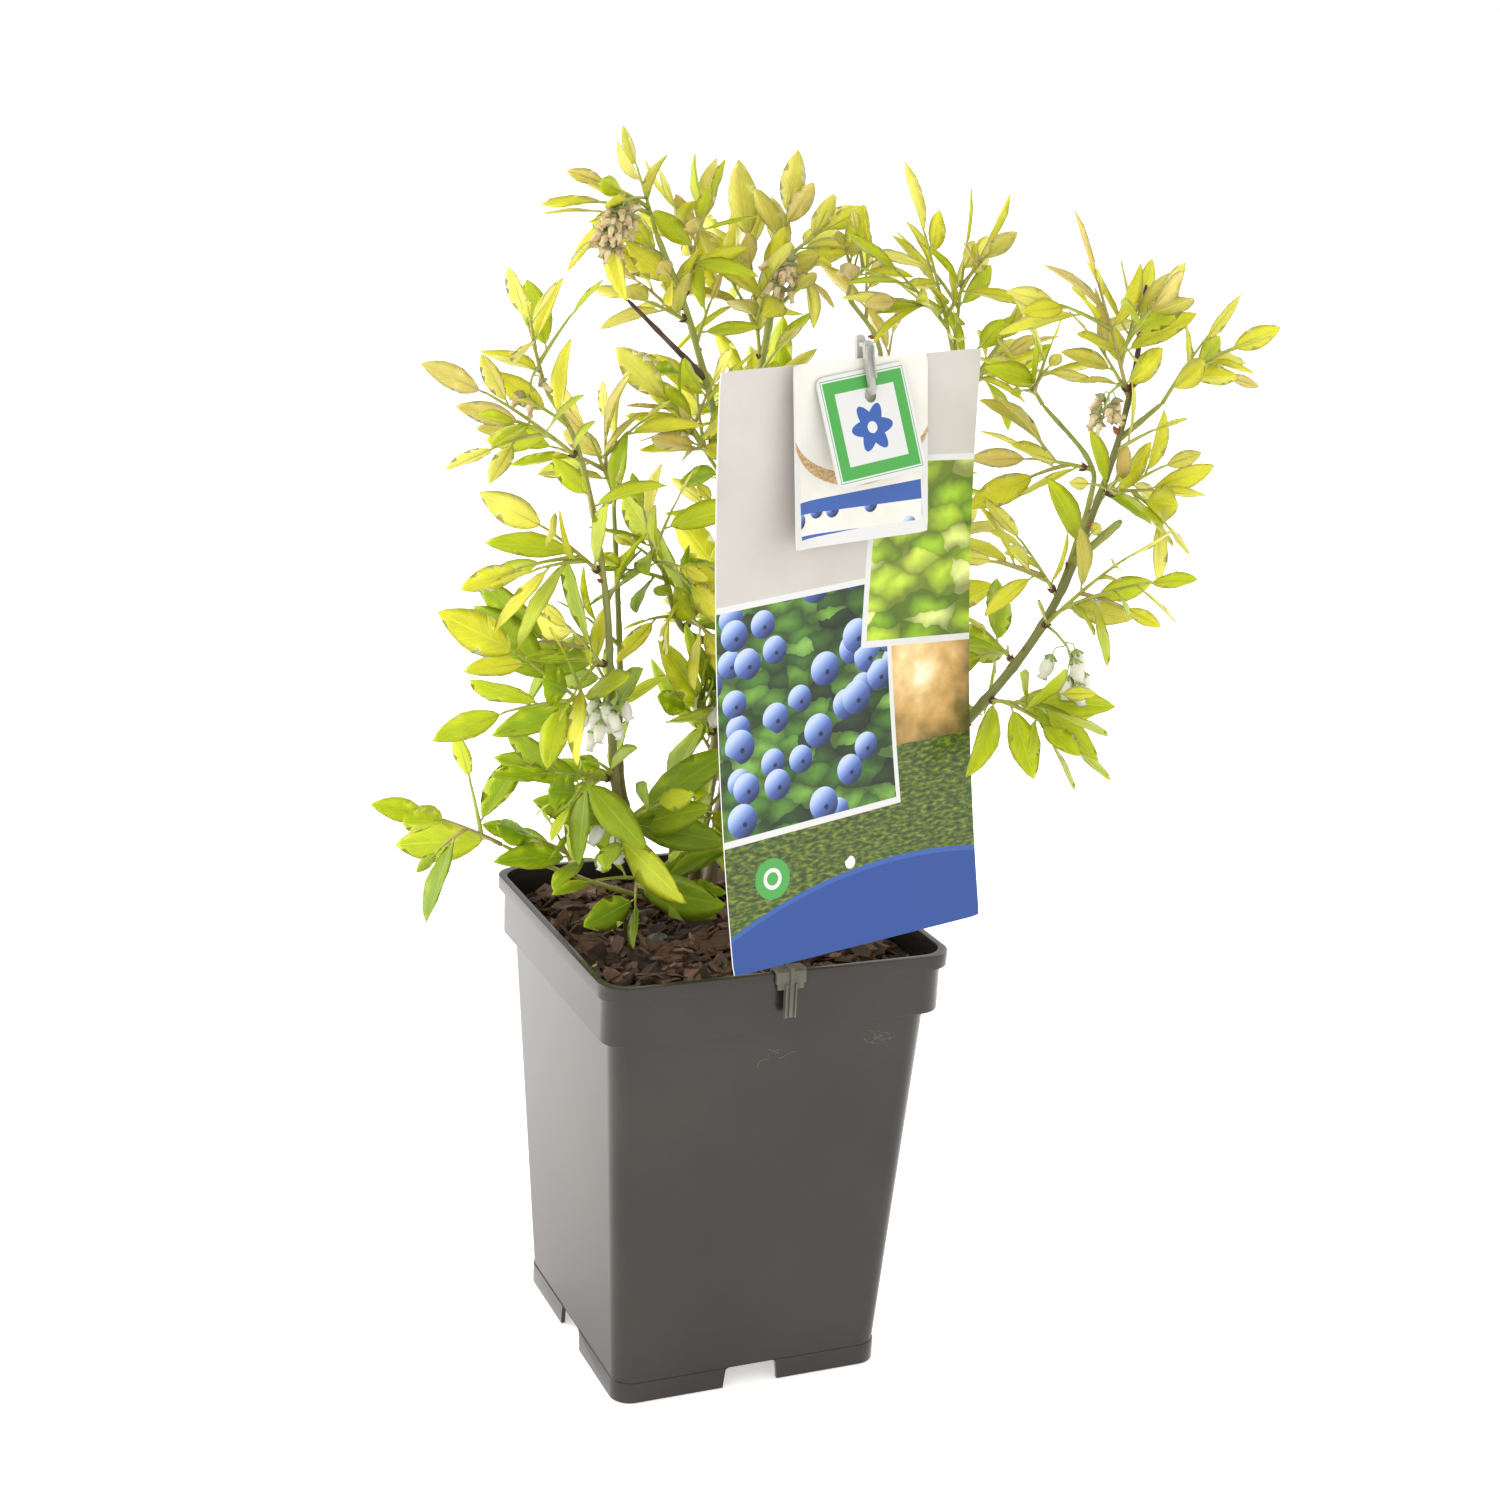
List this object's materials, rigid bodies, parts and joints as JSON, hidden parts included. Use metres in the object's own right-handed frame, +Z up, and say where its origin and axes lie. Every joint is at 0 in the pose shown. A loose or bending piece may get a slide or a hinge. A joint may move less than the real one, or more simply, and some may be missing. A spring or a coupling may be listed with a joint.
{
  "type": "potted blueberry bush",
  "caption": "Young blueberry bush with leafy canes in a square nursery pot of bark, with a hanging label card clipped to the rim.",
  "frame": {"origin": "on the ground under the middle of the pot, at the underside of its centre foot", "axes": "+Z up, -Y out of the front of the pot where the label hangs, +X to the viewer's right of that front"},
  "size_m": [0.35, 0.2501, 0.5071],
  "materials": {
    "pot_plastic": "satin, fine grain",
    "bark_medium": "rough loose bark",
    "label_paper": "smooth printed card",
    "holder_plastic": "smooth",
    "cane_wood": "smooth green-brown bark",
    "dead_wood": "dry, dark",
    "foliage": "soft leaf"
  },
  "bodies": {
    "root": {"bough_cross": "cane_wood", "bough_cut_stub": "cane_wood", "bough_dead_stub": "dead_wood", "bough_fork": "cane_wood", "bough_inner": "cane_wood", "bough_low_left": "cane_wood", "cane_back": "cane_wood", "cane_back_right": "cane_wood", "cane_centre": "cane_wood", "cane_left": "cane_wood", "cane_middle": "cane_wood", "cane_rear": "cane_wood", "cane_right": "cane_wood", "cane_right_rear": "cane_wood", "growing_medium": "bark_medium", "label_card": "label_paper", "label_fold": "label_paper", "label_holder": "holder_plastic", "label_tag": "label_paper", "leaves_back_mid": "foliage", "leaves_back_right_low": "foliage", "leaves_back_right_mid": "foliage", "leaves_back_right_top": "foliage", "leaves_back_top": "foliage", "leaves_centre": "foliage", "leaves_centre_high": "foliage", "leaves_cross_root": "foliage", "leaves_cross_tip": "foliage", "leaves_front_big": "foliage", "leaves_front_low": "foliage", "leaves_left_hang": "foliage", "leaves_left_inner": "foliage", "leaves_left_long": "foliage", "leaves_left_low": "foliage", "leaves_left_mid": "foliage", "leaves_left_top": "foliage", "leaves_left_upper": "foliage", "leaves_low_centre": "foliage", "leaves_low_left": "foliage", "leaves_low_left_root": "foliage", "leaves_rear_low": "foliage", "leaves_right_flower": "foliage", "leaves_right_foot": "foliage", "leaves_right_fork": "foliage", "leaves_right_inner": "foliage", "leaves_right_inner_low": "foliage", "leaves_right_low_in": "foliage", "leaves_right_low_out": "foliage", "leaves_right_mid": "foliage", "leaves_right_rear_foot": "foliage", "leaves_right_rear_left": "foliage", "leaves_right_rear_low": "foliage", "leaves_right_rear_top": "foliage", "leaves_right_top": "foliage", "leaves_top_left": "foliage", "leaves_top_left_low": "foliage", "leaves_top_mid": "foliage", "leaves_top_mid_left": "foliage", "leaves_top_rear": "foliage", "pot": "pot_plastic"}
  },
  "joints": []
}
